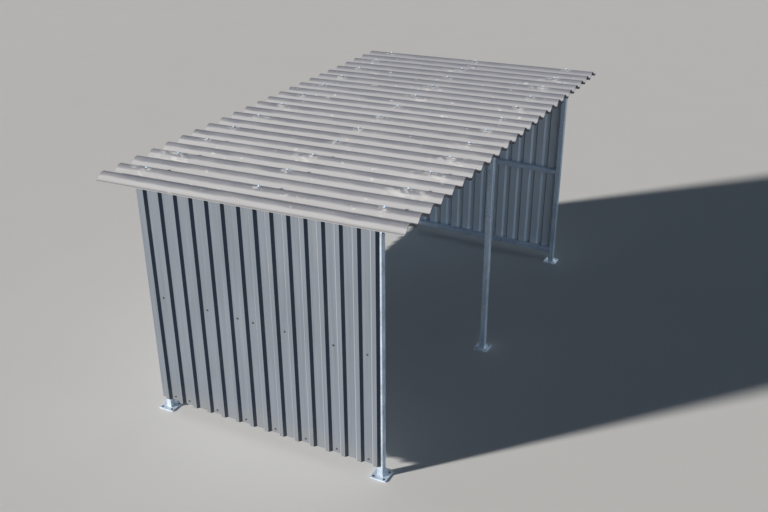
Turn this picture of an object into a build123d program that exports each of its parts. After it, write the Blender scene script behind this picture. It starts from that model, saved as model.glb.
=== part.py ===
from build123d import *
import math
import os

# Bike shelter: a frame of galvanised square tube on bolted base plates, ribbed steel
# sheets on both ends and the back, and a single-fall roof of corrugated sheets.
# Millimetres. X runs along the length, the open front faces -Y and Z is up. The origin
# lies on the ground under the middle of the roof.

# Plan
bay_count = 2
frame_depth = 1970.0  # front post centre to back post centre
front_overhang = 275.0  # front edge of the roof to the front post centres
left_overhang = 199.0  # left edge of the roof to the left post centres
right_overhang = 88.0  # right edge of the roof to the right post centres

# Frame
post_size = 50.0  # square tube of the posts
post_wall = 3.0
front_post_height = 2020.0  # ground to the underside of the rafters, at the front posts
rafter_size = 50.0
rafter_wall = 3.0
purlin_size = 50.0  # lipped channel, as wide as it is high
purlin_wall = 2.5
purlin_lip = 15.0
purlin_overhang = 50.0  # purlin end to the end post centres
rail_size = 50.0
rail_wall = 2.5
bottom_rail_height = 135.0  # ground to the middle of the bottom rails
middle_rail_height = 1060.0

# Base plates
plate_size = 130.0
plate_thickness = 8.0
bolt_spacing = 90.0
bolt_hole = 14.0

# Corrugated roof sheets
roof_fall = 2.6  # degrees, down towards the back
roof_sheet_length = 2500.0
roof_sheet_count = 4
wave_count = 6  # whole waves in one sheet, from valley to valley
wave_pitch = 178.0
wave_depth = 51.0
wave_flank = 41.0  # degrees, the steepest part of a wave
roof_thickness = 6.0
roof_lip = 5.0  # flat strip at the left edge of a sheet, in the valley that it laps
roof_tail = 10.0  # straight strip past the last valley, under the next sheet
roof_lap_gap = 0.5  # air between two sheets where one lies over the other
roof_seat_gap = 0.3  # air between a round valley and the flat purlin

# Ribbed wall sheets
rib_pitch = 137.5
rib_depth = 20.0
rib_crown = 33.0
rib_slope = 17.0  # width of one sloping side of a rib
wall_thickness = 1.0
wall_bottom = 100.0  # ground to the lower edge of the sheets
wall_front_setback = 16.0  # front face of the post to the edge of the end wall sheet
wall_front_lip = 4.0  # flat strip before the first rib
wall_lap_gap = 0.2
wall_lap_tail = 6.0  # height above the pan where a lapped rib side ends
wall_top_gap = 2.0
corner_gap = 0.5
end_sheet_count = 2
back_sheet_count = 4

# One wave of the roof: straight flanks between round crests and valleys
fall = math.radians(roof_fall)
flank = math.radians(wave_flank)
peak_share = 1 / math.cos(flank) - 1
wave_radius = (wave_pitch / 2 * math.tan(flank) - wave_depth) / (2 * peak_share)
crest_radius = wave_radius - roof_thickness / 2
valley_radius = wave_radius + roof_thickness / 2
lap_step = roof_thickness + roof_lap_gap
lap_shift = lap_step / math.sin(flank)
tail_length = valley_radius * math.tan(flank) + roof_tail
roof_sheet_cover = wave_count * wave_pitch - lap_shift
roof_sheet_width = roof_lip + roof_sheet_cover + tail_length * math.cos(flank)
roof_length = (roof_sheet_count - 1) * roof_sheet_cover + roof_sheet_width

# Places of the posts, set out under the roof
frame_length = roof_length - left_overhang - right_overhang
frame_middle = (left_overhang - right_overhang) / 2
bay_length = frame_length / bay_count
post_rows = {
    "front": -roof_sheet_length * math.cos(fall) / 2 + front_overhang,
}
post_rows["back"] = post_rows["front"] + frame_depth
post_lines = {
    "left": frame_middle - frame_length / 2,
    "middle": frame_middle,
    "right": frame_middle + frame_length / 2,
}
end_face = frame_length / 2 + post_size / 2  # from the middle post
front_face = post_rows["front"] - post_size / 2
back_face = post_rows["back"] + post_size / 2
frame_stack = purlin_size + rafter_size

# The roof plane, which the purlins carry and the valleys of the roof sheets rest on
roof_rise = wave_depth + roof_thickness
roof_middle_y = -math.sin(fall) * (2 * roof_seat_gap + roof_rise) / 2
roof_middle_z = (
    front_post_height
    + frame_stack / math.cos(fall)
    + (post_rows["front"] - roof_middle_y) * math.tan(fall)
)
roof_plane = Plane(
    origin=(0, roof_middle_y, roof_middle_z),
    x_dir=(1, 0, 0),
    z_dir=(0, math.sin(fall), math.cos(fall)),
)
downhill = Vector(0, math.cos(fall), -math.sin(fall))


def roof_height(y):
    """Height of the roof plane over the ground at a distance y."""
    return roof_middle_z - (y - roof_middle_y) * math.tan(fall)


def square_tube(size, wall):
    """Section of a square tube with the rounded outer corners of cold formed steel."""
    RectangleRounded(size, size, 2 * wall)
    Rectangle(size - 2 * wall, size - 2 * wall, mode=Mode.SUBTRACT)


def lipped_channel(size, wall, lip):
    """Section of a lipped channel, its open side to the left."""
    edge = size / 2
    with BuildLine() as outline:
        Polyline(
            (-edge, edge - lip),
            (-edge, edge),
            (edge, edge),
            (edge, -edge),
            (-edge, -edge),
            (-edge, lip - edge),
        )
        offset(amount=wall, side=Side.RIGHT, kind=Kind.INTERSECTION)
    make_face(outline.edges())


def save(piece, name):
    """Label a finished piece and write its file."""
    piece.part.label = name
    export_step(piece.part, f"parts/{name}.step")


def wave_points():
    """Corner points and bend radii of the underside of one roof sheet, from its left edge."""
    crest_peak = wave_depth + crest_radius * peak_share
    valley_peak = -valley_radius * peak_share
    first_valley = roof_lip - lap_shift
    lap_corner = first_valley + (lap_step - valley_peak) / math.tan(flank)
    points = [(0.0, lap_step), (lap_corner, lap_step)]
    radii = [valley_radius - lap_step]
    for wave in range(wave_count):
        left = first_valley + wave * wave_pitch
        points.append((left + wave_pitch / 2, crest_peak))
        points.append((left + wave_pitch, valley_peak))
        radii += [crest_radius, valley_radius]
    tail_run = tail_length * math.cos(flank)
    tail_rise = tail_length * math.sin(flank)
    points.append((points[-1][0] + tail_run, valley_peak + tail_rise))
    return points, radii


def rib_points(start, ribs, lead, tail, lapped_over, lapped_under):
    """Corner points of a wall sheet's inner face: distance along the wall, then outwards."""
    step = wall_thickness + wall_lap_gap
    side = math.hypot(rib_slope, rib_depth)
    foot_shift = step * side / rib_depth
    crown_shift = foot_shift - step * rib_slope / rib_depth
    tail_run = rib_slope * wall_lap_tail / rib_depth
    points = []
    for rib in range(ribs):
        left = start + rib * rib_pitch
        right = left + 2 * rib_slope + rib_crown
        rise = rib_depth
        foot = crown = 0.0
        if rib == 0 and lapped_over:
            rise, foot, crown = rib_depth + step, foot_shift, crown_shift
            points.append((left - foot + tail_run, wall_lap_tail))
        else:
            points.append((left, 0.0))
        points.append((left + rib_slope - crown, rise))
        points.append((right - rib_slope + crown, rise))
        if rib == ribs - 1 and lapped_under:
            points.append((right - tail_run, wall_lap_tail))
        else:
            points.append((right + foot, 0.0))
    if lead:
        points.insert(0, (start - lead, 0.0))
    if tail:
        points.append((points[-1][0] + tail, 0.0))
    return points


def wall_sheets(width, lead, sheet_count):
    """Corner points of each sheet of a wall, from one edge of the wall to the other."""
    rib_width = 2 * rib_slope + rib_crown
    rib_count = int((width - lead - rib_width) / rib_pitch) + 1
    rest = width - lead - rib_width - (rib_count - 1) * rib_pitch
    laps = [round(i * (rib_count - 1) / sheet_count) for i in range(sheet_count + 1)]
    outlines = []
    for number, (first, last) in enumerate(zip(laps, laps[1:])):
        is_first = number == 0
        is_last = number == sheet_count - 1
        outlines.append(
            rib_points(
                start=lead + first * rib_pitch,
                ribs=last - first + 1,
                lead=lead if is_first else 0,
                tail=rest if is_last else 0,
                lapped_over=not is_first,
                lapped_under=not is_last,
            )
        )
    return outlines


def wall_section(points):
    """Face of a ribbed sheet: its inner line, thickened outwards."""
    with BuildLine() as outline:
        Polyline(*points)
        offset(amount=wall_thickness, side=Side.LEFT, kind=Kind.INTERSECTION)
    make_face(outline.edges())


def roof_section(points, radii):
    """Face of a corrugated sheet: its underside, thickened upwards."""
    with BuildLine() as outline:
        FilletPolyline(*points, radius=radii)
        offset(amount=roof_thickness, side=Side.LEFT)
    make_face(outline.edges())


os.makedirs("parts", exist_ok=True)

# Posts and base plates
for row, y in post_rows.items():
    for line, x in post_lines.items():
        with BuildPart() as base_plate:
            with BuildSketch(Plane.XY):
                with Locations((x, y)):
                    Rectangle(plate_size, plate_size)
                    with GridLocations(bolt_spacing, bolt_spacing, 2, 2):
                        Circle(bolt_hole / 2, mode=Mode.SUBTRACT)
            extrude(amount=plate_thickness)
        save(base_plate, f"{row}_{line}_base_plate")

        with BuildPart() as post:
            with BuildSketch(Plane.XY.offset(plate_thickness)):
                with Locations((x, y)):
                    square_tube(post_size, post_wall)
            extrude(amount=roof_height(y) - plate_thickness)
            split(bisect_by=roof_plane.offset(-frame_stack), keep=Keep.BOTTOM)
        save(post, f"{row}_{line}_post")

# Rafters, front to back on the post tops, cut upright at both ends
for line, x in post_lines.items():
    rafter_plane = Plane(
        origin=roof_plane.from_local_coords((x, 0, -purlin_size - rafter_size / 2)),
        x_dir=(1, 0, 0),
        z_dir=downhill,
    )
    with BuildPart() as rafter:
        with BuildSketch(rafter_plane):
            square_tube(rafter_size, rafter_wall)
        extrude(amount=frame_depth, both=True)
        split(bisect_by=Plane.XZ.offset(-front_face), keep=Keep.BOTTOM)
        split(bisect_by=Plane.XZ.offset(-back_face), keep=Keep.TOP)
    save(rafter, f"{line}_rafter")

# Purlins, along the building on top of the rafters, their backs to the back wall
purlin_middle = -purlin_size / 2
front_purlin_y = (post_rows["front"] - roof_middle_y) / math.cos(fall)
back_purlin_y = (back_face - roof_middle_y) / math.cos(fall) - purlin_size / 2
purlin_places = {
    "front": front_purlin_y,
    "middle": (front_purlin_y + back_purlin_y) / 2,
    "back": back_purlin_y,
}
for row, place in purlin_places.items():
    purlin_plane = Plane(
        origin=roof_plane.from_local_coords((frame_middle, place, purlin_middle)),
        x_dir=downhill,
        z_dir=(1, 0, 0),
    )
    with BuildPart() as purlin:
        with BuildSketch(purlin_plane):
            lipped_channel(purlin_size, purlin_wall, purlin_lip)
        extrude(amount=frame_length / 2 + purlin_overhang, both=True)
    save(purlin, f"{row}_purlin")

# Rails of the end walls, between the front and back posts
rail_heights = {"bottom": bottom_rail_height, "middle": middle_rail_height}
end_rail_x = end_face - rail_size / 2
end_rail_length = frame_depth - post_size
for side, x in {"left": frame_middle - end_rail_x, "right": frame_middle + end_rail_x}.items():
    for level, z in rail_heights.items():
        rail_start = Plane(origin=(x, post_rows["front"] + post_size / 2, z), z_dir=(0, 1, 0))
        with BuildPart() as end_rail:
            with BuildSketch(rail_start):
                square_tube(rail_size, rail_wall)
            extrude(amount=end_rail_length)
        save(end_rail, f"{side}_wall_{level}_rail")

# Rails of the back wall, between the back posts
back_rail_y = back_face - rail_size / 2
for side, x in {"left": post_lines["left"], "right": post_lines["middle"]}.items():
    for level, z in rail_heights.items():
        rail_start = Plane(origin=(x + post_size / 2, back_rail_y, z), z_dir=(1, 0, 0))
        with BuildPart() as back_rail:
            with BuildSketch(rail_start):
                square_tube(rail_size, rail_wall)
            extrude(amount=bay_length - post_size)
        save(back_rail, f"back_wall_{side}_{level}_rail")

# Ribbed sheets of the end walls, cut along the top to the fall of the roof
end_wall_front = front_face + wall_front_setback
end_wall_width = back_face + rib_depth + wall_thickness - end_wall_front
end_wall_plane = Plane(
    origin=(frame_middle - end_face, end_wall_front, wall_bottom),
    x_dir=(0, 1, 0),
    z_dir=(0, 0, 1),
)
end_wall_outlines = wall_sheets(end_wall_width, wall_front_lip, end_sheet_count)
for number, outline in enumerate(end_wall_outlines, start=1):
    with BuildPart() as left_sheet:
        with BuildSketch(end_wall_plane):
            wall_section(outline)
        extrude(amount=front_post_height + frame_stack)
        split(bisect_by=roof_plane.offset(-purlin_size - wall_top_gap), keep=Keep.BOTTOM)
    save(left_sheet, f"left_wall_sheet_{number}")

    with BuildPart() as right_sheet:
        mirror(left_sheet.part, about=Plane.YZ.offset(frame_middle))
    save(right_sheet, f"right_wall_sheet_{number}")

# Ribbed sheets of the back wall, up behind the back purlin
back_wall_width = 2 * (end_face - corner_gap)
back_wall_top = roof_height(back_face + rib_depth + 2 * wall_thickness) - wall_top_gap
back_wall_lead = (back_wall_width + rib_pitch - 2 * rib_slope - rib_crown) % rib_pitch / 2
back_wall_plane = Plane(
    origin=(frame_middle - back_wall_width / 2, back_face, wall_bottom),
    x_dir=(1, 0, 0),
    z_dir=(0, 0, 1),
)
back_wall_outlines = wall_sheets(back_wall_width, back_wall_lead, back_sheet_count)
for number, outline in enumerate(back_wall_outlines, start=1):
    with BuildPart() as back_sheet:
        with BuildSketch(back_wall_plane):
            wall_section(outline)
        extrude(amount=back_wall_top - wall_bottom)
    save(back_sheet, f"back_wall_sheet_{number}")

# Corrugated roof sheets, each lapped over the last valley of the sheet before it
wave_line, wave_bends = wave_points()
for number in range(roof_sheet_count):
    sheet_x = -roof_length / 2 + number * roof_sheet_cover
    section_plane = Plane(
        origin=roof_plane.from_local_coords((sheet_x, 0, roof_seat_gap)),
        x_dir=(1, 0, 0),
        z_dir=-downhill,
    )
    with BuildPart() as roof_sheet:
        with BuildSketch(section_plane):
            roof_section(wave_line, wave_bends)
        extrude(amount=roof_sheet_length / 2, both=True)
    save(roof_sheet, f"roof_sheet_{number + 1}")
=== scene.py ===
from math import cos, pi, radians, sin, tan

import bmesh
import bpy
from bpy.props import FloatProperty, FloatVectorProperty, PointerProperty
from mathutils import Euler, Matrix, Vector


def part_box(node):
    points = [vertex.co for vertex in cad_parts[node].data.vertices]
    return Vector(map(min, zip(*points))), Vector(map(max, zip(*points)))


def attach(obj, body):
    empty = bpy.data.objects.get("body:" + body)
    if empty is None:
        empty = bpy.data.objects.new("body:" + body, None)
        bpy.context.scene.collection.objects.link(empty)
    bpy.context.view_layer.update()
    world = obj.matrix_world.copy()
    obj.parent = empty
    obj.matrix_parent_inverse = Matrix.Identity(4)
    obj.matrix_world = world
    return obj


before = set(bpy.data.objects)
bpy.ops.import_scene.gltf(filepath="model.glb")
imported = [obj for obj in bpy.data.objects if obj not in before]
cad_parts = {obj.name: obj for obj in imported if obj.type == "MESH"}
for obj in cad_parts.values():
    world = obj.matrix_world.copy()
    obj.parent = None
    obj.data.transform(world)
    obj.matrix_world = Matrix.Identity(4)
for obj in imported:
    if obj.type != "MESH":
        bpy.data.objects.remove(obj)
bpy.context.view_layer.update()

bl_info = {
    "name": "Bike shelter",
    "version": (1, 0, 0),
    "blender": (4, 5, 0),
    "location": "3D View > Sidebar > Shelter",
    "description": "Finishes, fixings and stage for the bike shelter frame",
    "category": "Object",
}

# Sizes and slopes of the roof boards, in metres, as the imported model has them
ROOF_FALL = radians(2.6)
ROOF_BOARDS = 4
WAVE_PITCH = 0.178
WAVE_DEPTH = 0.051
WAVE_COUNT = 6
WAVE_SLOPE = radians(41)
BOARD_THICKNESS = 0.006
LAP_GAP = 0.0005
LAP_SHIFT = (BOARD_THICKNESS + LAP_GAP) / sin(WAVE_SLOPE)
ROOF_COVER = WAVE_COUNT * WAVE_PITCH - LAP_SHIFT
ROOF_LIP = 0.005

# Sizes of the wall sheets, tubes and base plates
RIB_PITCH = 0.1375
RIB_WIDTH = 0.067
END_WALL_LEAD = 0.004
SHEET_THICKNESS = 0.001
TUBE = 0.05
PLATE_TOP = 0.008
HOLE_OFFSET = 0.045
HOLE_RADIUS = 0.007

# Screws go on every second pan and crest, and along a middle rail on some pans of every eight
SCREW_STEP = 2
RAIL_CYCLE = 8
RAIL_PANS = (0, 2, 5, 7)

# Least distance from a screw to the end of its wall
END_MARGIN = 0.02

# Underside and top of the screws' seals, over the sheet
WALL_SEAL = (0.0, 0.0018)
ROOF_SEAL = (-0.003, 0.002)

# Corners of the round discs and of the floor
SCREW_CORNERS = 20
BOLT_CORNERS = 24
FLOOR_CORNERS = 96

# Splashed dust on the walls: the height where it begins and the height where it is full
SPLASH = (0.34, 0.08)

# Painted shade on the crests' tops, and grime in the valleys: how far from the crests' tops they
# begin and are full
CREST_SHADE = (-0.024, -0.011)
GRIMY_VALLEY = (-0.038, -WAVE_DEPTH)

# Weathered end of the roof: the distance x where it begins and where it is full
WEATHERED_END = (-1.2, 2.2)

# Lime stains, small and wide: how far from a roof screw they begin and are full
SMALL_STAIN = (0.05, 0.012)
WIDE_STAIN = (0.17, 0.05)

# Reach of the floor and of the camera's sight
FLOOR_RADIUS = 90
SIGHT_LIMIT = 500

# Turns of the two soft lights, from the right end of the shelter towards its back
SIDE_TURN = radians(-10)
FRONT_TURN = radians(-115)

# Directions
LEFT = Vector((-1, 0, 0))
RIGHT = Vector((1, 0, 0))
FRONT = Vector((0, -1, 0))
BACK = Vector((0, 1, 0))
UP = Vector((0, 0, 1))
DOWN = -UP
ROOF_UP = Vector((0, sin(ROOF_FALL), cos(ROOF_FALL)))
ROOF_DOWNHILL = Vector((0, cos(ROOF_FALL), -sin(ROOF_FALL)))

# Inner side of each wall
INWARD = {"left": RIGHT, "right": LEFT, "back": FRONT}


def middle(node):
    """Middle of a CAD node's box."""
    low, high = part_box(node)
    return (low + high) / 2


POST_ROWS = {row: middle(f"{row}_middle_post").y for row in ("front", "back")}
POST_LINES = {line: middle(f"front_{line}_post").x for line in ("left", "middle", "right")}
PURLIN_ROWS = ("front", "middle", "back")
ROOF_LOW, ROOF_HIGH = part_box("roof_sheet_1")
FIRST_VALLEY = ROOF_LOW.x + ROOF_LIP - LAP_SHIFT


def nodes_with(words):
    """Names of the CAD nodes that have these words in them."""
    return [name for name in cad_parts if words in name]


def crest_height(y):
    """Height of the top of the roof's crests at a distance y."""
    return ROOF_HIGH.z - (y - ROOF_LOW.y) * tan(ROOF_FALL)


def crest_place(number):
    """Distance x of a crest, counted from 1 at the left end of the roof."""
    sheet, wave = divmod(number - 1, WAVE_COUNT)
    return FIRST_VALLEY + sheet * ROOF_COVER + (wave + 0.5) * WAVE_PITCH


def rafter_height(y):
    """Height of the middle of the rafters at a distance y."""
    low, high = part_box("middle_rafter")
    share = (y - low.y) / (high.y - low.y)
    return (high.z - TUBE / 2) * (1 - share) + (low.z + TUBE / 2) * share


def colour_property(name, description, default):
    """A colour that a user may change."""
    return FloatVectorProperty(
        name=name, description=description, subtype="COLOR", size=3, min=0, max=1, default=default
    )


def length_property(name, description, default):
    """A length in metres that a user may change."""
    return FloatProperty(
        name=name, description=description, subtype="DISTANCE", unit="LENGTH",
        min=0, default=default,
    )


def share_property(name, description, default):
    """A strength from 0 to 1 that a user may change."""
    return FloatProperty(
        name=name, description=description, subtype="FACTOR", min=0, max=1, default=default
    )


def angle_property(name, description, default, least=-pi):
    """An angle that a user may change."""
    return FloatProperty(
        name=name, description=description, subtype="ANGLE", min=least, max=pi, default=default
    )


def strength_property(name, description, default):
    """The strength of a light, which a user may change."""
    return FloatProperty(name=name, description=description, min=0, default=default)


class ShelterFinish(bpy.types.PropertyGroup):
    """Colours and wear of the shelter's surfaces"""

    steel: colour_property("Steel", "Zinc coating of the frame", (0.60, 0.70, 0.82))
    steel_bloom: share_property("Bloom share", "How much pale bloom lies on the zinc", 0.5)
    zinc_bloom: colour_property("Zinc bloom", "Pale bloom on the zinc", (0.70, 0.79, 0.88))
    # Painted shade: a dark ring round each hole of the base plates
    hole_shade: colour_property("Hole dirt", "Dirt in the holes of the plates", (0.05, 0.05, 0.045))
    wall: colour_property("Wall sheets", "Coating of the ribbed sheets", (0.21, 0.236, 0.273))
    wall_inside: colour_property("Wall inside", "Backing coat of the sheets", (0.76, 0.81, 0.86))
    wall_streaks: share_property("Wall streaks", "How strong the rain streaks are", 0.8)
    # Painted shade on the ribs' slopes that face away from the key light, and how strong that
    # painted shade is
    slope_shade: colour_property("Lee dirt", "Dirt on the ribs' shaded slopes", (0.022, 0.042, 0.074))
    slope_shade_share: share_property("Lee grime", "How thick that dirt is", 0.85)
    dust: colour_property("Dust", "Splashed dust at the foot of the walls", (0.30, 0.29, 0.27))
    roof: colour_property("Roof boards", "Weathered fibre cement", (0.49, 0.485, 0.49))
    aged: colour_property("Aged boards", "Boards of the more weathered end", (0.325, 0.32, 0.345))
    # Painted shade on the tops of the waves
    crest: colour_property("Crests", "Dark weathered tops of the waves", (0.225, 0.23, 0.26))
    # Clean fibre cement of the underside, darkened by painted shade
    shaded_underside: colour_property("Underside", "Clean fibre cement", (0.27, 0.275, 0.29))
    # Grime in the valleys; made darker, it is also the painted shade of the boards' front cut faces
    valley_grime_and_edge_shade: colour_property("Grime", "Dirt that settles in the valleys", (0.20, 0.185, 0.19))
    bloom: colour_property("Lime bloom", "Pale stains round the fixings", (0.74, 0.73, 0.71))
    # How strong the roof's stains and valley grime are, and the painted shade on its crests
    roof_wear_and_shade: share_property("Roof wear", "How strong the stains of the roof are", 0.75)
    rubber: colour_property("Rubber", "Seals and end caps", (0.025, 0.026, 0.028))
    screw: colour_property("Screws", "Dulled zinc of the wall screws", (0.20, 0.20, 0.22))
    rust: colour_property("Rust", "Touch of rust on the wall screws", (0.12, 0.095, 0.085))
    weld: colour_property("Welds", "Cold zinc coat of the weld beads", (0.50, 0.53, 0.56))
    burn: colour_property("Burn", "Dark places on the weld beads", (0.30, 0.31, 0.33))


class ShelterFixings(bpy.types.PropertyGroup):
    """Sizes of the screws, seals, welds and brackets"""

    wall_washer: length_property("Wall washer", "Diameter of the wall screws' washers", 0.016)
    wall_head: length_property("Wall screw head", "Width of the wall screws' heads", 0.008)
    roof_washer: length_property("Roof washer", "Diameter of the roof screws' washers", 0.029)
    roof_head: length_property("Roof screw head", "Width of the roof screws' heads", 0.011)
    weld: length_property("Weld", "Leg of the weld beads", 0.0045)
    cap: length_property("Cap rim", "Thickness of the rafter end caps", 0.003)
    cleat: length_property("Cleat leg", "Leg of the purlin cleats", 0.04)
    cleat_plate: length_property("Cleat plate", "Thickness of the purlin cleats", 0.004)
    cleat_bolt: length_property("Cleat bolt", "Width of the cleats' bolt heads", 0.013)


class ShelterStage(bpy.types.PropertyGroup):
    """Floor, lights and camera"""

    floor: colour_property("Floor", "Plain pale floor", (0.97, 0.955, 0.93))
    bounce: share_property("Floor bounce", "How much light the floor throws back", 0.65)
    key_strength: strength_property("Key light", "Strength of the key light", 4.8)
    key_colour: colour_property("Key colour", "Colour of the key light", (1.0, 0.97, 0.93))
    key_size: angle_property("Key size", "How wide the key light looks", radians(4), 0)
    key_turn: angle_property(
        "Key turn", "Turn of the key light from the left to the back", radians(45)
    )
    key_rise: angle_property(
        "Key rise", "Height of the key light over the floor", radians(16)
    )
    side_strength: strength_property(
        "Side light", "Strength of the soft light on the right end", 1.5
    )
    side_colour: colour_property("Side colour", "Colour of the side light", (0.80, 0.89, 1.0))
    front_strength: strength_property(
        "Front light", "Strength of the soft light into the open front", 0.46
    )
    soft_size: angle_property("Soft size", "How wide the two soft lights look", radians(50), 0)
    soft_rise: angle_property(
        "Soft rise", "Height of the two soft lights over the floor", radians(12)
    )
    fill: colour_property("Fill colour", "Colour of the front and fill light", (0.58, 0.77, 1.0))
    backdrop: colour_property("Backdrop", "What is seen behind the floor", (0.60, 0.66, 0.72))
    fill_strength: strength_property("Fill light", "Strength of the light from all round", 0.065)
    camera_place: FloatVectorProperty(
        name="Camera place", description="From the foot of the near front post",
        subtype="TRANSLATION", unit="LENGTH", size=3, default=(-4.7995, -2.5848, 4.6043),
    )
    camera_turn: FloatVectorProperty(
        name="Camera turn", description="Turn of the camera", subtype="EULER", size=3,
        default=(radians(63.754), radians(-1.8113), radians(-66.1101)),
    )
    camera_lens: FloatProperty(
        name="Lens", description="Focal length", unit="CAMERA", min=1, default=42.92
    )
    camera_shift: FloatVectorProperty(
        name="Shift", description="Shift of the picture", size=2, default=(-0.09442, -0.01074)
    )


class Shade:
    """A value in a material. Sums of such values add their Math nodes."""

    def __init__(self, tree, socket=None):
        self.tree = tree
        self.socket = socket

    def node(self, kind, settings=None, values=None, output=0):
        """Add any other node: first its settings, then the values or links of its sockets."""
        made = self.tree.nodes.new(kind)
        for name, setting in (settings or {}).items():
            setattr(made, name, setting)
        for name, value in (values or {}).items():
            if isinstance(value, Shade):
                self.tree.links.new(value.socket, made.inputs[name])
            else:
                made.inputs[name].default_value = value
        return Shade(self.tree, made.outputs[output])

    def math(self, operation, first, second=0.0):
        """Add a Math node on one or two values."""
        return self.node("ShaderNodeMath", {"operation": operation}, {0: first, 1: second})

    def __add__(self, other):
        return self.math("ADD", self, other)

    def __sub__(self, other):
        return self.math("SUBTRACT", self, other)

    def __rsub__(self, other):
        return self.math("SUBTRACT", other, self)

    def __mul__(self, other):
        return self.math("MULTIPLY", self, other)

    def __truediv__(self, other):
        return self.math("DIVIDE", self, other)

    def __rtruediv__(self, other):
        return self.math("DIVIDE", other, self)

    __radd__ = __add__
    __rmul__ = __mul__

    def __abs__(self):
        return self.math("ABSOLUTE", self)

    def floor(self):
        """The whole number below it."""
        return self.math("FLOOR", self)

    def root(self):
        """Its square root."""
        return self.math("SQRT", self)

    def remainder(self, step):
        """What is left of it after whole steps."""
        return self.math("MODULO", self, step)

    def smaller(self, other):
        """The smaller of two values."""
        return self.math("MINIMUM", self, other)

    def larger(self, other):
        """The larger of two values."""
        return self.math("MAXIMUM", self, other)

    def xyz(self):
        """Its X, Y and Z as three values."""
        first = self.node("ShaderNodeSeparateXYZ", values={0: self})
        return [Shade(self.tree, output) for output in first.socket.node.outputs]

    def feed(self, shader, name):
        """Lead this value into a socket of the surface shader."""
        self.tree.links.new(self.socket, shader.inputs[name])


def tint(colour, level=1.0):
    """A colour made lighter or darker, with its alpha."""
    return (*(min(1.0, part * level) for part in colour), 1.0)


def spots(place, size, stretch=(1, 1, 1), detail=2.0):
    """Soft noise from 0 to 1 whose spots are about as large as size."""
    seat = place.node(
        "ShaderNodeMapping", values={"Vector": place, "Scale": [part / size for part in stretch]}
    )
    return seat.node("ShaderNodeTexNoise", values={"Vector": seat, "Scale": 1.0, "Detail": detail})


def fade(value, start, end):
    """0 up to start, 1 past end, and smooth between them."""
    return value.node(
        "ShaderNodeMapRange", {"interpolation_type": "SMOOTHSTEP"},
        {"Value": value, "From Min": start, "From Max": end},
    )


def between(share, first, second):
    """A colour between two colours."""
    return share.node("ShaderNodeMix", {"data_type": "RGBA"}, {0: share, 6: first, 7: second}, 2)


def multiply(colour, value):
    """A colour multiplied by a value."""
    return value.node(
        "ShaderNodeMix", {"data_type": "RGBA", "blend_type": "MULTIPLY"},
        {0: 1.0, 6: colour, 7: value}, 2,
    )


def new_material(name):
    """A material, its place on the object as a value, and its surface shader."""
    material = bpy.data.materials.new(name)
    material.use_nodes = True
    tree = material.node_tree
    place = Shade(tree).node("ShaderNodeTexCoord", output="Object")
    return material, place, tree.nodes["Principled BSDF"]


def background_rays(tree):
    """1 for the rays that show the background: seen directly, in a gloss or through glass."""
    camera, glossy, through = (
        Shade(tree).node("ShaderNodeLightPath", output=f"Is {kind} Ray")
        for kind in ("Camera", "Glossy", "Transmission")
    )
    return camera.larger(glossy).larger(through)


def relief(shader, height, depth, strength):
    """Raise the surface by a height from 0 to 1 times depth."""
    height.node(
        "ShaderNodeBump", values={"Height": height, "Distance": depth, "Strength": strength}
    ).feed(shader, "Normal")


def facing(place, direction):
    """How far the surface faces along a direction, from -1 to 1."""
    normal = place.node("ShaderNodeTexCoord", output="Normal")
    return place.node(
        "ShaderNodeVectorMath", {"operation": "DOT_PRODUCT"}, {0: normal, 1: direction}, "Value"
    )


def nearest_hole(value, posts):
    """Distance from a value to the nearest row of holes, along one axis."""
    holes = [post + side for post in posts for side in (-HOLE_OFFSET, HOLE_OFFSET)]
    least, *others = (abs(value - hole) for hole in holes)
    for gap in others:
        least = least.smaller(gap)
    return least


def hole_distance(place):
    """Distance from the middle of the nearest hole of the base plates."""
    x, y, _ = place.xyz()
    across = nearest_hole(x, POST_LINES.values())
    along = nearest_hole(y, POST_ROWS.values())
    return (across * across + along * along).root()


def zinc_material(name, finish, plate=False):
    """Hot dip galvanised steel: spangle, dull bloom and faint runs; painted shade round the holes
    in a plate.
    """
    material, place, shader = new_material(name)
    flakes = place.node(
        "ShaderNodeTexVoronoi",
        values={"Vector": place, "Scale": 80.0, "Randomness": 0.9}, output="Color",
    )
    flake = flakes.xyz()[0]
    cloud = spots(place, size=0.16, detail=4.0)
    runs = spots(place, size=0.018, stretch=(1, 1, 0.06))
    dull = fade(cloud * 0.7 + runs * 0.3, 0.42, 0.62) * finish.steel_bloom
    metal = between(flake, tint(finish.steel, 0.88), tint(finish.steel, 1.12))
    if plate:
        dull = dull * 0.6 + 0.4
    metal = between(dull, metal, tint(finish.zinc_bloom))
    if plate:
        # Painted shade: a dark ring round each hole of the base plates
        ring = hole_distance(place) + (spots(place, size=0.006) - 0.5) * 0.006
        hole_shade_ring = fade(ring, HOLE_RADIUS * 1.8, HOLE_RADIUS * 1.1)
        metal = between(hole_shade_ring * 0.9, metal, tint(finish.hole_shade))
    metal.feed(shader, "Base Color")
    (0.34 + flake * 0.1 + dull * 0.4).feed(shader, "Roughness")
    (0.5 - dull * 0.4).feed(shader, "Metallic")
    relief(shader, flake * 0.3 + spots(place, size=0.006) * 0.7, depth=0.0004, strength=0.5)
    return material


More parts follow.
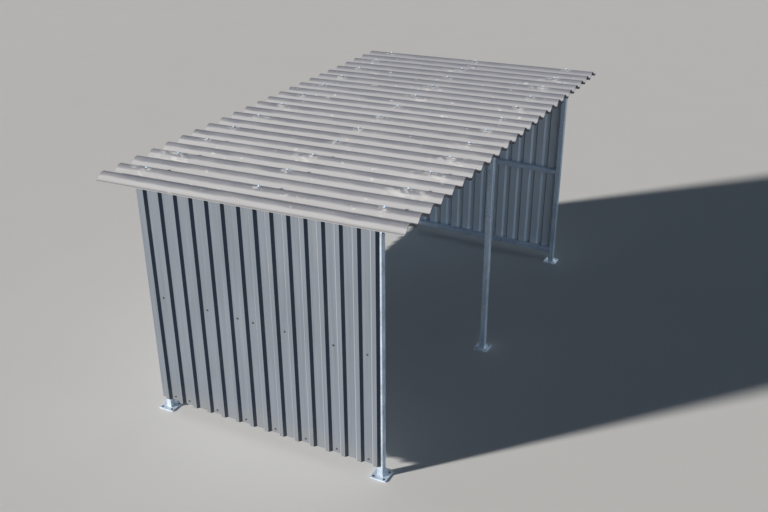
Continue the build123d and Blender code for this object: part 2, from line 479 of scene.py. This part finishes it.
def wall_material(name, finish, outward, shade_side):
    """Coated steel sheet: rain streaks, painted shade and painted highlights on the rib slopes,
    dust at the foot, a pale coat inside.
    """
    material, place, shader = new_material(name)
    height = place.xyz()[2]
    streaks = spots(place, size=0.022, stretch=(1, 1, 0.03), detail=3.0)
    lines = spots(place, size=0.007, stretch=(1, 1, 0.01))
    cloud = spots(place, size=0.55, stretch=(1, 1, 0.6))
    tone = 0.5 + (streaks - 0.5 + (lines - 0.5) * 0.9) * finish.wall_streaks + (cloud - 0.5) * 0.6
    coat = between(tone, tint(finish.wall, 0.8), tint(finish.wall, 1.2))
    # Masks of the rib slopes that face away from the key light and of those that face it
    slope = facing(place, shade_side)
    shade_side_slope = fade(slope, 0.3, 0.6)
    sun_side_slope = fade(slope, -0.3, -0.6)
    # Outside: a painted highlight on the slopes that face the key light, and painted shade on those
    # that face away from it
    coat = multiply(coat, 1 + sun_side_slope * 0.34)
    coat = between(shade_side_slope * finish.slope_shade_share, coat, tint(finish.slope_shade))
    splash = fade(height + (spots(place, size=0.03) - 0.5) * 0.25, *SPLASH)
    film = fade(spots(place, size=0.09, stretch=(1, 1, 0.25), detail=4.0), 0.55, 0.8) * 0.22
    dust = splash * 0.3 + film
    outside = between(dust, coat, tint(finish.dust))
    backing = between(tone, tint(finish.wall_inside, 0.95), tint(finish.wall_inside, 1.05))
    # Inside: a painted highlight on the slopes that face the shade side, and painted shade on the
    # others
    backing = multiply(backing, (1 + shade_side_slope * 0.28) * (1 - sun_side_slope * 0.55))
    inside = fade(facing(place, outward), 0.05, -0.05)
    between(inside, outside, backing).feed(shader, "Base Color")
    (0.42 + streaks * 0.12 + dust * 0.5 - inside * 0.12).feed(shader, "Roughness")
    shader.inputs["Specular IOR Level"].default_value = 0.2
    buckle = spots(place, size=0.2, stretch=(1, 1, 0.35))
    grain = spots(place, size=0.003)
    relief(shader, buckle * 0.97 + grain * 0.03, depth=0.004, strength=0.6)
    return material


def roof_material(name, finish):
    """Weathered fibre cement: painted shade on the crests' tops and front edges, grime in the
    valleys, lime stains at the fixings, an underside darkened by painted shade.
    """
    material, place, shader = new_material(name)
    x, y, z = place.xyz()
    lift = z - (crest_height(0) - y * tan(ROOF_FALL))
    sheet = ((x - ROOF_LOW.x) / ROOF_COVER).floor()
    along = x - FIRST_VALLEY - sheet * ROOF_COVER
    aside = abs(along.remainder(SCREW_STEP * WAVE_PITCH) - (SCREW_STEP - 0.5) * WAVE_PITCH)
    age = sheet.node("ShaderNodeTexWhiteNoise", {"noise_dimensions": "1D"}, {"W": sheet}, "Value")
    cloud = spots(place, size=0.7, stretch=(1, 0.6, 1), detail=3.0)
    patches = spots(place, size=0.09, stretch=(1, 0.35, 1), detail=5.0)
    streaks = spots(place, size=0.012, stretch=(1, 0.03, 1), detail=3.0)
    grain = spots(place, size=0.004, stretch=(1, 0.5, 1), detail=3.0)
    tone = 0.5 + (cloud - 0.5) * 0.5 + (patches - 0.5) * 0.5 + (streaks - 0.5) * 0.5
    tone = tone + (grain - 0.5) * 0.35
    board = between(tone, tint(finish.roof, 0.86), tint(finish.roof, 1.14))
    old = fade(x + (cloud - 0.5) * 1.2, *WEATHERED_END) * 0.85
    board = between(old, board, between(tone, tint(finish.aged, 0.86), tint(finish.aged, 1.14)))
    edge = (streaks - 0.5) * 0.008 + (patches - 0.5) * 0.012
    # Painted shade on the crests' tops, broken into blotches
    crest = fade(lift + edge, *CREST_SHADE) * (1.15 + (patches - 0.5) * 1.2)
    board = between(crest * finish.roof_wear_and_shade, board, tint(finish.crest))
    valley = fade(lift, *GRIMY_VALLEY)
    board = between(valley * (0.1 + streaks * 0.4) * finish.roof_wear_and_shade, board, tint(finish.valley_grime_and_edge_shade))
    for row in PURLIN_ROWS:
        away = y - middle(f"{row}_purlin").y
        reach = (away * away * 0.45 + aside * aside).root()
        near = fade(reach + (spots(place, size=0.03) - 0.5) * 0.05, *SMALL_STAIN)
        flow = spots(place, size=0.02, stretch=(1, 0.5, 1), detail=4.0)
        wide = fade(reach + (patches - 0.5) * 0.1, *WIDE_STAIN)
        wide = wide * fade(spots(place, size=0.4), 0.47, 0.6)
        broken = spots(place, size=0.035, stretch=(1, 0.4, 1), detail=5.0)
        stain = near * fade(flow, 0.42, 0.6) + wide * fade(broken, 0.5, 0.62) * 0.7
        board = between(stain * (1 - old * 0.5) * finish.roof_wear_and_shade, board, tint(finish.bloom))
    fleck = fade(spots(place, size=0.05, stretch=(1, 0.5, 1), detail=6.0), 0.66, 0.72)
    board = between(fleck * (finish.roof_wear_and_shade * 0.8), board, tint(finish.bloom))
    # Painted shade on the front cut faces of the boards, which face away from the light
    front_edge_shade = fade(facing(place, FRONT), 0.7, 0.9)
    board = between(front_edge_shade, board, tint(finish.valley_grime_and_edge_shade, 0.3))
    board = multiply(board, 0.95 + age * 0.06)
    # The underside's clean fibre cement, darkened by painted shade
    clean_shaded_underside = between(tone, tint(finish.shaded_underside, 0.9), tint(finish.shaded_underside, 1.1))
    below = fade(facing(place, UP), 0.05, -0.05)
    between(below, board, clean_shaded_underside).feed(shader, "Base Color")
    (0.84 + grain * 0.12).feed(shader, "Roughness")
    shader.inputs["Specular IOR Level"].default_value = 0.25
    relief(shader, grain * 0.6 + patches * 0.4, depth=0.0016, strength=0.7)
    return material


def rubber_material(name, finish):
    """Black rubber and plastic with a dusty bloom."""
    material, place, shader = new_material(name)
    dust = fade(spots(place, size=0.01, detail=3.0), 0.45, 0.8) * 0.5
    between(dust, tint(finish.rubber), tint(finish.rubber, 4.0)).feed(shader, "Base Color")
    (0.55 + dust * 0.3).feed(shader, "Roughness")
    relief(shader, spots(place, size=0.0015), depth=0.0003, strength=0.4)
    return material


def screw_material(name, finish):
    """Screw heads with dulled zinc and a touch of rust."""
    material, place, shader = new_material(name)
    rust = fade(spots(place, size=0.012, detail=3.0), 0.42, 0.62)
    between(rust, tint(finish.screw), tint(finish.rust)).feed(shader, "Base Color")
    (0.45 + rust * 0.35).feed(shader, "Roughness")
    (0.7 - rust * 0.5).feed(shader, "Metallic")
    relief(shader, spots(place, size=0.001), depth=0.0002, strength=0.5)
    return material


def weld_material(name, finish):
    """Weld beads under a cold zinc coat."""
    material, place, shader = new_material(name)
    burn = fade(spots(place, size=0.012, detail=3.0), 0.4, 0.7)
    between(burn, tint(finish.weld), tint(finish.burn)).feed(shader, "Base Color")
    (0.5 + burn * 0.2).feed(shader, "Roughness")
    (0.6 - burn * 0.3).feed(shader, "Metallic")
    relief(shader, spots(place, size=0.002), depth=0.0004, strength=0.6)
    return material


def material_named(name, make, finish):
    """A material that is shared, found by its name or else made."""
    return bpy.data.materials.get(name) or make(name, finish)


def dress(nodes, material):
    """Give CAD nodes their finish."""
    for name in nodes:
        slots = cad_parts[name].data.materials
        slots.clear()
        slots.append(material)


def nothing_selected():
    """Deselect everything, in object mode."""
    bpy.ops.object.select_all(action="DESELECT")


def pick(kind, wanted):
    """In edit mode, select only the faces or edges that are wanted."""
    bpy.ops.mesh.select_mode(type=kind)
    mesh = bmesh.from_edit_mesh(bpy.context.object.data)
    for part in mesh.verts[:] + mesh.edges[:] + mesh.faces[:]:
        part.select = False
    for part in mesh.faces if kind == "FACE" else mesh.edges:
        if wanted(part):
            part.select_set(True)
    bmesh.update_edit_mesh(bpy.context.object.data)


def level_edge(height):
    """Whether an edge lies level at a height."""
    tolerance = 1e-5
    return lambda edge: all(abs(end.co.z - height) < tolerance for end in edge.verts)


def faces_up(face):
    """Whether a face looks straight up."""
    return face.normal.z > 0.99


def faces_down(face):
    """Whether a face looks straight down."""
    return face.normal.z < -0.99


def add_block(size, place):
    """A block of a size round a place, left in edit mode."""
    nothing_selected()
    bpy.ops.mesh.primitive_cube_add(size=1, location=place)
    block = bpy.context.object
    block.scale = size
    bpy.ops.object.transform_apply(location=True, scale=True)
    bpy.ops.object.mode_set(mode="EDIT")
    return block


def add_disc(radius, low, high, corners, rim, material):
    """A round or hexagonal disc with its upper rim bevelled."""
    nothing_selected()
    bpy.ops.mesh.primitive_cylinder_add(
        vertices=corners, radius=radius, depth=high - low, location=(0, 0, (low + high) / 2)
    )
    disc = bpy.context.object
    bpy.ops.object.transform_apply(location=True)
    bpy.ops.object.mode_set(mode="EDIT")
    pick("EDGE", level_edge(high))
    bpy.ops.mesh.bevel(offset=rim, segments=2)
    bpy.ops.object.mode_set(mode="OBJECT")
    disc.data.materials.append(material)
    return disc


def add_hexagon(width, low, high, rim, material):
    """A hexagonal head, as wide as width across its flats."""
    return add_disc(width / 2 / cos(pi / 6), low, high, 6, rim, material)


def join(parts, name):
    """Join several pieces into one."""
    nothing_selected()
    for part in parts:
        part.select_set(True)
    bpy.context.view_layer.objects.active = parts[0]
    bpy.ops.object.join()
    bpy.context.object.name = name
    return bpy.context.object


def model_screw(name, head, washer, seal, metal, rubber):
    """A hexagon screw on a dished washer and a rubber seal, standing on the origin."""
    seal_low, seal_high = seal
    seal_radius = washer * 0.47
    seal_rim = 0.0004
    plate_top = seal_high + 0.0012
    plate_rim = 0.0003
    dish_border = washer * 0.18
    dish_rise = washer * 0.05
    base = plate_top + dish_rise
    flange_radius = head * 0.72
    flange_low = base - 0.0006
    flange_high = base + head * 0.12
    head_low = base + head * 0.1
    head_high = base + head * 0.62
    head_rim = head * 0.07

    foot = add_disc(seal_radius, seal_low, seal_high, SCREW_CORNERS, seal_rim, rubber)
    plate = add_disc(washer / 2, seal_high, plate_top, SCREW_CORNERS, plate_rim, metal)
    bpy.ops.object.mode_set(mode="EDIT")
    pick("FACE", lambda face: faces_up(face) and face.calc_center_median().z > seal_high)
    bpy.ops.mesh.inset(thickness=dish_border)
    bpy.ops.transform.translate(value=(0, 0, dish_rise))
    bpy.ops.object.mode_set(mode="OBJECT")
    flange = add_disc(flange_radius, flange_low, flange_high, SCREW_CORNERS, plate_rim, metal)
    hexagon = add_hexagon(head, head_low, head_high, head_rim, metal)
    return join([foot, plate, flange, hexagon], name)


def model_bolt(name, width, metal):
    """A hexagon bolt head on a washer, standing on the origin."""
    washer_radius = width * 0.95
    washer_top = width * 0.12
    washer_rim = width * 0.04
    head_low = width * 0.1
    head_high = width * 0.66
    head_rim = width * 0.06

    washer = add_disc(washer_radius, 0.0, washer_top, BOLT_CORNERS, washer_rim, metal)
    head = add_hexagon(width, head_low, head_high, head_rim, metal)
    return join([washer, head], name)


def seat(point, outward, spin=0.0):
    """Turn that lays a model's Z along a direction, at a point."""
    turn = outward.to_track_quat("Z", "Y").to_matrix().to_4x4()
    return Matrix.Translation(point) @ turn @ Matrix.Rotation(spin, 4, "Z")


def corner(point, first, second):
    """Turn that lays a model's Z and Y along two surfaces' normals, at their corner."""
    columns = Matrix((second.cross(first), second, first)).transposed()
    return Matrix.Translation(point) @ columns.to_4x4()


def place_copies(model, turns, name):
    """Copies of a model, each with its own mesh, joined into one piece."""
    copies = []
    for turn in turns:
        one = model.copy()
        one.data = model.data.copy()
        bpy.context.collection.objects.link(one)
        one.data.transform(turn)
        copies.append(one)
    return join(copies, name)


def put_away(model):
    """Remove a model once its copies are placed."""
    mesh = model.data
    bpy.data.objects.remove(model)
    bpy.data.meshes.remove(mesh)


def ride(piece):
    """Make a finished piece ride on the frame."""
    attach(piece, "root")


def pan_middles(start, end):
    """Middles of a wall's flat parts, from its first rib to its end."""
    first = start + (RIB_PITCH + RIB_WIDTH) / 2
    count = int((end - END_MARGIN - first) / RIB_PITCH) + 1
    return [first + number * RIB_PITCH for number in range(count)]


def screw_rows(pans, bottom, rail, top):
    """Where a wall's screws sit: distance along the wall and height, row by row."""
    last = len(pans) - 1
    found = []
    for number, along in enumerate(pans):
        if number % SCREW_STEP == 0 or number == last:
            found += [(along, bottom), (along, top(along))]
        if number % RAIL_CYCLE in RAIL_PANS or number == last:
            found.append((along, rail))
    return found


class SHELTER_OT_finish_frame(bpy.types.Operator):
    """Give the posts, plates, rafters, purlins and rails their galvanised finish"""

    bl_idname = "shelter.finish_frame"
    bl_label = "Finish Frame"

    def execute(self, context):
        finish = context.scene.shelter_finish
        plates = nodes_with("_plate")
        others = plates + nodes_with("_sheet")
        bars = [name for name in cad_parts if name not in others]
        dress(bars, zinc_material("galvanised_frame", finish))
        dress(plates, zinc_material("galvanised_plate", finish, plate=True))
        return {"FINISHED"}


class SHELTER_OT_finish_walls(bpy.types.Operator):
    """Give the ribbed wall sheets their coated finish"""

    bl_idname = "shelter.finish_walls"
    bl_label = "Finish Walls"

    def execute(self, context):
        finish = context.scene.shelter_finish
        for side, outward, shade_side in (
            ("left", LEFT, FRONT), ("right", RIGHT, FRONT), ("back", BACK, RIGHT)
        ):
            material = wall_material(f"coated_{side}_wall", finish, outward, shade_side)
            dress(nodes_with(f"{side}_wall_sheet"), material)
        return {"FINISHED"}


class SHELTER_OT_finish_roof(bpy.types.Operator):
    """Give the corrugated roof sheets their fibre cement finish"""

    bl_idname = "shelter.finish_roof"
    bl_label = "Finish Roof"

    def execute(self, context):
        material = roof_material("fibre_cement_roof", context.scene.shelter_finish)
        dress(nodes_with("roof_sheet"), material)
        return {"FINISHED"}


class SHELTER_OT_add_wall_screws(bpy.types.Operator):
    """Screw the wall sheets to the rails, the rafters and the back purlin"""

    bl_idname = "shelter.add_wall_screws"
    bl_label = "Add Wall Screws"

    def execute(self, context):
        fixings = context.scene.shelter_fixings
        finish = context.scene.shelter_finish
        metal = material_named("weathered_screw", screw_material, finish)
        rubber = material_named("black_rubber", rubber_material, finish)
        model = model_screw(
            "wall_screw", fixings.wall_head, fixings.wall_washer, WALL_SEAL, metal, rubber
        )
        bottom, rail = (middle(f"left_wall_{level}_rail").z for level in ("bottom", "middle"))
        first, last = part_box("left_wall_sheet_1")[0].y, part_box("left_wall_sheet_2")[1].y
        end_rows = screw_rows(pan_middles(first + END_WALL_LEAD, last), bottom, rail, rafter_height)
        low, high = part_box("back_wall_sheet_1")[0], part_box("back_wall_sheet_4")[1]
        lead = (high.x - low.x + RIB_PITCH - RIB_WIDTH) % RIB_PITCH / 2
        purlin = middle("back_purlin").z
        back_rows = screw_rows(pan_middles(low.x + lead, high.x), bottom, rail, lambda x: purlin)
        left_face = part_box("left_wall_sheet_1")[1].x - SHEET_THICKNESS
        right_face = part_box("right_wall_sheet_1")[0].x + SHEET_THICKNESS
        back_face = low.y + SHEET_THICKNESS
        walls = (
            ("left", Vector((left_face, 0, 0)), BACK, LEFT, end_rows),
            ("right", Vector((right_face, 0, 0)), BACK, RIGHT, end_rows),
            ("back", Vector((0, back_face, 0)), RIGHT, BACK, back_rows),
        )
        for side, face, along, outward, rows in walls:
            turns = [
                seat(face + along * way + UP * height, outward, number)
                for number, (way, height) in enumerate(rows)
            ]
            ride(place_copies(model, turns, f"{side}_wall_screws"))
        put_away(model)
        return {"FINISHED"}


class SHELTER_OT_add_roof_fixings(bpy.types.Operator):
    """Fix the roof sheets to the purlins on every second crest"""

    bl_idname = "shelter.add_roof_fixings"
    bl_label = "Add Roof Fixings"

    def execute(self, context):
        fixings = context.scene.shelter_fixings
        finish = context.scene.shelter_finish
        metal = material_named("bright_zinc", zinc_material, finish)
        rubber = material_named("black_rubber", rubber_material, finish)
        model = model_screw(
            "roof_screw", fixings.roof_head, fixings.roof_washer, ROOF_SEAL, metal, rubber
        )
        crests = range(SCREW_STEP, ROOF_BOARDS * WAVE_COUNT + 1, SCREW_STEP)
        for row in PURLIN_ROWS:
            y = middle(f"{row}_purlin").y
            turns = [
                seat(Vector((crest_place(crest), y, crest_height(y))), ROOF_UP, crest)
                for crest in crests
            ]
            ride(place_copies(model, turns, f"{row}_roof_fixings"))
        put_away(model)
        return {"FINISHED"}


class SHELTER_OT_add_purlin_cleats(bpy.types.Operator):
    """Bolt the front and middle purlins to the rafters with angle cleats"""

    bl_idname = "shelter.add_purlin_cleats"
    bl_label = "Add Purlin Cleats"

    def execute(self, context):
        fixings = context.scene.shelter_fixings
        finish = context.scene.shelter_finish
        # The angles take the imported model's own steel, which has a plain finish
        steel = material_named("galvanised_steel", zinc_material, finish)
        bright = material_named("bright_zinc", zinc_material, finish)
        leg, plate = fixings.cleat, fixings.cleat_plate
        bolt_place = leg * 0.62
        angle = self.model_angle(leg, plate, steel)
        web_bolt = model_bolt("web_bolt", fixings.cleat_bolt, bright)
        web_bolt.data.transform(seat(Vector((0, plate, bolt_place)), BACK))
        foot_bolt = model_bolt("foot_bolt", fixings.cleat_bolt, bright)
        foot_bolt.data.transform(seat(Vector((0, bolt_place, plate)), UP))
        model = join([angle, web_bolt, foot_bolt], "purlin_cleat")
        turns = []
        for row in ("front", "middle"):
            place = middle(f"{row}_purlin") + (ROOF_DOWNHILL - ROOF_UP) * (TUBE / 2)
            for x in POST_LINES.values():
                turns.append(corner(Vector((x, *place.yz)), ROOF_UP, ROOF_DOWNHILL))
        ride(place_copies(model, turns, "purlin_cleats"))
        put_away(model)
        return {"FINISHED"}

    def model_angle(self, leg, plate, metal):
        """An angle bracket in the corner of the rafter and the purlin, at the origin."""
        angle = add_block((leg, leg, plate), (0, leg / 2, plate / 2))
        bpy.ops.mesh.select_all(action="SELECT")
        bpy.ops.mesh.bisect(plane_co=(0, plate, 0), plane_no=(0, 1, 0))
        pick("FACE", lambda face: faces_up(face) and face.calc_center_median().y < plate)
        bpy.ops.mesh.extrude_region_move(TRANSFORM_OT_translate={"value": (0, 0, leg - plate)})
        pick("EDGE", lambda edge: edge.calc_face_angle(0) > radians(60))
        bpy.ops.mesh.bevel(offset=plate * 0.15, segments=2)
        bpy.ops.object.mode_set(mode="OBJECT")
        angle.data.materials.append(metal)
        return angle


class SHELTER_OT_add_welds(bpy.types.Operator):
    """Weld the posts to their base plates, the rails to the posts and the purlins in place"""

    bl_idname = "shelter.add_welds"
    bl_label = "Add Welds"

    def execute(self, context):
        leg = context.scene.shelter_fixings.weld
        metal = material_named("zinc_coated_weld", weld_material, context.scene.shelter_finish)
        foot = self.model_foot_weld(leg, metal)
        feet = [
            Matrix.Translation((x, y, PLATE_TOP))
            for x in POST_LINES.values() for y in POST_ROWS.values()
        ]
        ride(place_copies(foot, feet, "post_foot_welds"))
        put_away(foot)
        bead = self.model_bead(leg, metal)
        turns = self.rail_corners() + self.post_top_corners() + self.purlin_corners()
        ride(place_copies(bead, turns, "frame_welds"))
        put_away(bead)
        return {"FINISHED"}

    def ripple(self, model, leg, metal):
        """Give a bead the ripples of a weld, and its finish."""
        texture = bpy.data.textures.new("weld_ripple", "CLOUDS")
        texture.noise_scale = leg
        push = model.modifiers.new("ripple", "DISPLACE")
        push.texture = texture
        push.strength = leg * 0.45
        push.mid_level = 0.55
        bpy.ops.object.modifier_apply(modifier=push.name)
        bpy.data.textures.remove(texture)
        model.data.materials.append(metal)
        return model

    def model_foot_weld(self, leg, metal):
        """A bead all round the foot of a post, standing on the origin."""
        outer = TUBE + 2 * leg
        inner = TUBE + 0.0006
        model = add_block((outer, outer, leg), (0, 0, leg / 2))
        pick("FACE", faces_up)
        bpy.ops.transform.resize(value=(inner / outer, inner / outer, 1))
        pick("EDGE", lambda edge: True)
        bpy.ops.mesh.subdivide(number_cuts=23)
        bpy.ops.object.mode_set(mode="OBJECT")
        return self.ripple(model, leg, metal)

    def model_bead(self, leg, metal):
        """A straight bead along X, in the corner of the surfaces under it and behind it."""
        length = TUBE * 0.86
        model = add_block((length, leg, leg), (0, leg / 2, leg / 2))
        pick("EDGE", lambda edge: all(min(end.co.yz) > leg / 2 for end in edge.verts))
        bpy.ops.mesh.bevel(offset=leg * 0.8, segments=2)
        pick("EDGE", lambda edge: abs(edge.verts[0].co.x - edge.verts[1].co.x) > leg)
        bpy.ops.mesh.subdivide(number_cuts=19)
        bpy.ops.object.mode_set(mode="OBJECT")
        return self.ripple(model, leg, metal)

    def rail_corners(self):
        """Top, bottom and inner side of both ends of each rail."""
        turns = []
        for name in nodes_with("_rail"):
            side = name.split("_")[0]
            low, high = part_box(name)
            centre = (low + high) / 2
            along = RIGHT if side == "back" else BACK
            for end, away in ((low, along), (high, -along)):
                point = centre + along * (end - centre).dot(along)
                for face in (UP, DOWN, INWARD[side]):
                    turns.append(corner(point + face * (TUBE / 2), away, face))
        return turns

    def post_top_corners(self):
        """Inner side of each post, under its rafter."""
        turns = []
        for row, inward in (("front", 1), ("back", -1)):
            y = POST_ROWS[row] + inward * TUBE / 2
            height = rafter_height(y) - TUBE / 2 / cos(ROOF_FALL)
            for x in POST_LINES.values():
                turns.append(corner(Vector((x, y, height)), Vector((0, inward, 0)), -ROOF_UP))
        return turns

    def purlin_corners(self):
        """Front side of each purlin, on each rafter."""
        turns = []
        for row in PURLIN_ROWS:
            place = middle(f"{row}_purlin") - (ROOF_DOWNHILL + ROOF_UP) * (TUBE / 2)
            for x in POST_LINES.values():
                turns.append(corner(Vector((x, *place.yz)), -ROOF_DOWNHILL, ROOF_UP))
        return turns


class SHELTER_OT_add_rafter_caps(bpy.types.Operator):
    """Close the ends of the rafters with plastic caps"""

    bl_idname = "shelter.add_rafter_caps"
    bl_label = "Add Rafter Caps"

    def execute(self, context):
        rubber = material_named("black_rubber", rubber_material, context.scene.shelter_finish)
        model = self.model_cap(context.scene.shelter_fixings.cap, rubber)
        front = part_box("middle_rafter")[0].y
        turns = [
            corner(Vector((x, front, rafter_height(front))), FRONT, UP)
            for x in POST_LINES.values()
        ]
        ride(place_copies(model, turns, "rafter_caps"))
        put_away(model)
        return {"FINISHED"}

    def model_cap(self, rim, rubber):
        """A square cap with a raised middle, and a plug behind it that goes into the tube."""
        width = TUBE - 0.001
        corner_radius = 0.005
        edge_radius = 0.001
        border = 0.008
        rise = 0.0015
        plug_inset = 0.0045
        plug_length = 0.012

        model = add_block((width, width, rim), (0, 0, rim / 2))
        pick("EDGE", lambda edge: abs(edge.verts[0].co.z - edge.verts[1].co.z) > rim / 2)
        bpy.ops.mesh.bevel(offset=corner_radius, segments=3)
        pick("EDGE", level_edge(rim))
        bpy.ops.mesh.bevel(offset=edge_radius, segments=2)
        pick("FACE", faces_up)
        bpy.ops.mesh.inset(thickness=border)
        bpy.ops.transform.translate(value=(0, 0, rise))
        pick("FACE", faces_down)
        bpy.ops.mesh.inset(thickness=plug_inset)
        bpy.ops.mesh.extrude_region_move(TRANSFORM_OT_translate={"value": (0, 0, -plug_length)})
        bpy.ops.object.mode_set(mode="OBJECT")
        model.data.materials.append(rubber)
        return model


class SHELTER_OT_set_stage(bpy.types.Operator):
    """Lay the floor, hang the lights and set up the camera"""

    bl_idname = "shelter.set_stage"
    bl_label = "Set Stage"

    def execute(self, context):
        stage = context.scene.shelter_stage
        floor = self.lay_floor(stage)
        context.scene.world = self.soft_world(stage)
        pieces = [one for one in context.scene.objects if one.type == "MESH" and one is not floor]
        self.hang_lights(stage, pieces)
        context.scene.camera = self.set_camera(stage)
        context.scene.view_settings.view_transform = "Standard"
        return {"FINISHED"}

    def lay_floor(self, stage):
        """A plain floor, paler to the camera than to the light that bounces off it."""
        nothing_selected()
        bpy.ops.mesh.primitive_circle_add(
            vertices=FLOOR_CORNERS, radius=FLOOR_RADIUS, fill_type="NGON"
        )
        floor = bpy.context.object
        floor.name = "floor"
        material, place, shader = new_material("pale_floor")
        grain = spots(place, size=0.9, detail=3.0)
        colour = between(grain, tint(stage.floor, 0.985), tint(stage.floor, 1.015))
        level = stage.bounce + background_rays(place.tree) * (1 - stage.bounce)
        multiply(colour, level).feed(shader, "Base Color")
        shader.inputs["Roughness"].default_value = 0.9
        shader.inputs["Specular IOR Level"].default_value = 0.1
        floor.data.materials.append(material)
        return floor

    def soft_world(self, stage):
        """Weak light from all round, with a brighter backdrop where it is seen."""
        world = bpy.data.worlds.new("soft_light")
        world.use_nodes = True
        background = world.node_tree.nodes["Background"]
        shown = background_rays(world.node_tree)
        between(shown, tint(stage.fill), tint(stage.backdrop)).feed(background, "Color")
        (stage.fill_strength + shown * (1 - stage.fill_strength)).feed(background, "Strength")
        return world

    def hang_lights(self, stage, pieces):
        """A key light for all, and two soft lights that light only the shelter's pieces."""
        lit = bpy.data.collections.new("lit_by_soft_lights")
        for piece in pieces:
            lit.objects.link(piece)
        key = (pi - stage.key_turn, stage.key_rise, stage.key_size)
        side = (SIDE_TURN, stage.soft_rise, stage.soft_size)
        front = (FRONT_TURN, stage.soft_rise, stage.soft_size)
        self.hang_light("key_light", key, stage.key_strength, stage.key_colour)
        for name, place, strength, colour in (
            ("side_light", side, stage.side_strength, stage.side_colour),
            ("front_light", front, stage.front_strength, stage.fill),
        ):
            soft = self.hang_light(name, place, strength, colour)
            soft.light_linking.receiver_collection = lit

    def hang_light(self, name, place, strength, colour):
        """A far light, turned from the right end towards the back and raised over the floor."""
        turn, rise, size = place
        light = bpy.data.objects.new(name, bpy.data.lights.new(name, "SUN"))
        towards = Vector((cos(rise) * cos(turn), cos(rise) * sin(turn), sin(rise)))
        light.rotation_euler = towards.to_track_quat("Z", "Y").to_euler()
        light.data.angle = size
        light.data.energy = strength
        light.data.color = colour
        bpy.context.collection.objects.link(light)
        return light

    def set_camera(self, stage):
        """A camera at the photograph's viewing angle, placed from the near front post."""
        camera = bpy.data.objects.new("camera", bpy.data.cameras.new("camera"))
        foot = Vector((POST_LINES["left"], POST_ROWS["front"], 0))
        camera.location = foot + Vector(stage.camera_place)
        camera.rotation_euler = Euler(stage.camera_turn)
        camera.data.lens = stage.camera_lens
        camera.data.shift_x, camera.data.shift_y = stage.camera_shift
        camera.data.clip_end = SIGHT_LIMIT
        bpy.context.collection.objects.link(camera)
        return camera


OPERATORS = (
    SHELTER_OT_finish_frame,
    SHELTER_OT_finish_walls,
    SHELTER_OT_finish_roof,
    SHELTER_OT_add_wall_screws,
    SHELTER_OT_add_roof_fixings,
    SHELTER_OT_add_purlin_cleats,
    SHELTER_OT_add_welds,
    SHELTER_OT_add_rafter_caps,
    SHELTER_OT_set_stage,
)


class SHELTER_PT_panel(bpy.types.Panel):
    """Lists the steps that dress the shelter"""

    bl_idname = "SHELTER_PT_panel"
    bl_label = "Bike Shelter"
    bl_space_type = "VIEW_3D"
    bl_region_type = "UI"
    bl_category = "Shelter"

    def draw(self, context):
        for step in OPERATORS:
            self.layout.operator(step.bl_idname)


CLASSES = (ShelterFinish, ShelterFixings, ShelterStage, *OPERATORS, SHELTER_PT_panel)


def register():
    for one in CLASSES:
        bpy.utils.register_class(one)
    bpy.types.Scene.shelter_finish = PointerProperty(type=ShelterFinish)
    bpy.types.Scene.shelter_fixings = PointerProperty(type=ShelterFixings)
    bpy.types.Scene.shelter_stage = PointerProperty(type=ShelterStage)


def unregister():
    del bpy.types.Scene.shelter_stage
    del bpy.types.Scene.shelter_fixings
    del bpy.types.Scene.shelter_finish
    for one in reversed(CLASSES):
        bpy.utils.unregister_class(one)


def main():
    register()
    bpy.ops.shelter.finish_frame()
    bpy.ops.shelter.finish_walls()
    bpy.ops.shelter.finish_roof()
    bpy.ops.shelter.add_wall_screws()
    bpy.ops.shelter.add_roof_fixings()
    bpy.ops.shelter.add_purlin_cleats()
    bpy.ops.shelter.add_welds()
    bpy.ops.shelter.add_rafter_caps()
    bpy.ops.shelter.set_stage()


if __name__ == "__main__":
    main()
